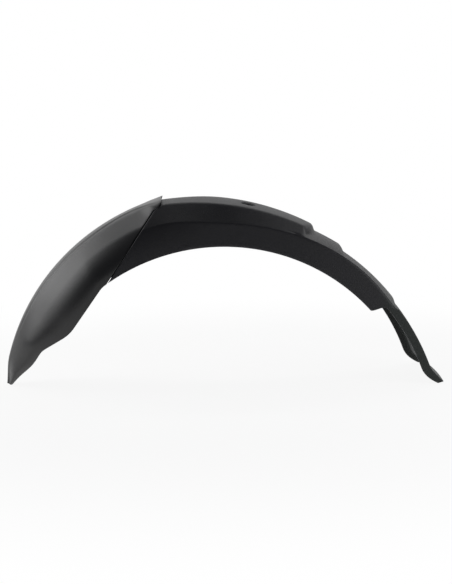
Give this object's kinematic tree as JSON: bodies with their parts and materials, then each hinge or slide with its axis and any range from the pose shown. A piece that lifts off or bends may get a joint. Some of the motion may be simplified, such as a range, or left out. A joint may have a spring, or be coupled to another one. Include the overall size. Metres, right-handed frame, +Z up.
{
  "type": "scooter front mudguard",
  "caption": "Arched front mudguard for a small-wheeled scooter: black side-skirted body with fork bolt recesses and a turned-out rear flap, and a pointed painted front cover.",
  "frame": {"origin": "centre of the bounding box, on the ground under the beak and the rear lip", "axes": "+X to the rear, -X towards the beak, +Y across the wheel, +Z up along the fork bolt holes"},
  "size_m": [0.5212, 0.1456, 0.2222],
  "materials": {
    "textured_black": "fine-grained moulded polypropylene",
    "painted_black": "satin-gloss black paint on moulded plastic",
    "screw_steel": "zinc plated",
    "washer_steel": "zinc plated"
  },
  "bodies": {
    "root": {"rear_mudguard": "textured_black", "front_cover": "painted_black", "upper_left_screw": "screw_steel", "upper_right_screw": "screw_steel", "lower_left_screw": "screw_steel", "lower_right_screw": "screw_steel", "upper_left_washer": "washer_steel", "upper_right_washer": "washer_steel", "lower_left_washer": "washer_steel", "lower_right_washer": "washer_steel"}
  },
  "joints": []
}
